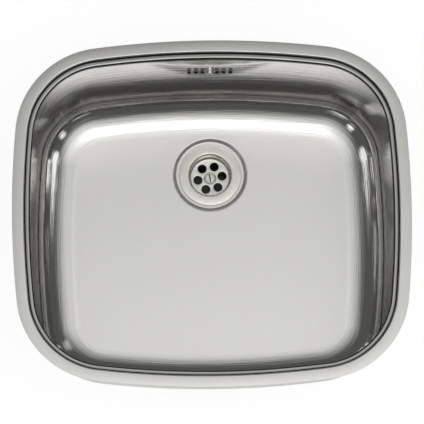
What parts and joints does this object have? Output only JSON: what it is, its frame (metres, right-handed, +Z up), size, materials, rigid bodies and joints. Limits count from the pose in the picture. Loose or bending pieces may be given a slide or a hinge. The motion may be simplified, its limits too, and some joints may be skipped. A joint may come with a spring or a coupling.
{
  "type": "undermount kitchen sink",
  "caption": "Single-bowl undermount stainless sink with rounded corners, flat rim, slotted overflow, strainer waste and overflow hose.",
  "frame": {"origin": "middle of the rim, in the plane of its top face, which meets the underside of the worktop", "axes": "+Z up through the worktop; +Y to the back, where the overflow is; +X to the right along the sink's length"},
  "size_m": [0.4398, 0.39, 0.246],
  "materials": {
    "drawn_steel": "satin brushed rim and floor, polished walls",
    "pressed_steel": "satin",
    "screw_steel": "bright",
    "insert_brass": "machined",
    "waste_plastic": "moulded, fine matte",
    "nut_plastic": "moulded",
    "hose_plastic": "blow-moulded, ribbed",
    "seal_rubber": "matte",
    "bitumen_pad": "matte, fine grain"
  },
  "bodies": {
    "basin": {"bowl": "drawn_steel", "damping_pad": "bitumen_pad", "waste_flange": "pressed_steel", "waste_upper_seal": "seal_rubber", "waste_lower_seal": "seal_rubber", "waste_body": "waste_plastic", "waste_insert": "insert_brass", "overflow_washer": "screw_steel", "overflow_seal": "seal_rubber", "overflow_housing": "waste_plastic", "overflow_insert": "insert_brass", "overflow_hose": "hose_plastic", "upper_hose_seal": "seal_rubber", "lower_hose_seal": "seal_rubber"},
    "centre_screw": {"waste_screw": "screw_steel"},
    "overflow_fixing": {"overflow_screw": "screw_steel"},
    "upper_nut": {"upper_hose_nut": "nut_plastic"},
    "lower_nut": {"lower_hose_nut": "nut_plastic"}
  },
  "joints": [
    {"name": "waste_screw_turn", "type": "hinge", "parent": "basin", "child": "centre_screw", "pos_m": [0, 0.0815, -0.194], "axis": [0, 0, 1], "range_deg": [0, 3330]},
    {"name": "overflow_screw_turn", "type": "hinge", "parent": "basin", "child": "overflow_fixing", "pos_m": [0, 0.17211, -0.05], "axis": [0, -1, 0.0087], "range_deg": [0, 4230]},
    {"name": "upper_nut_turn", "type": "hinge", "parent": "basin", "child": "upper_nut", "pos_m": [0, 0.1838, -0.083], "axis": [0, 0, -1], "range_deg": [0, 2250]},
    {"name": "lower_nut_turn", "type": "hinge", "parent": "basin", "child": "lower_nut", "pos_m": [0, 0.121, -0.204], "axis": [0, 1, 0], "range_deg": [0, 2250]}
  ]
}
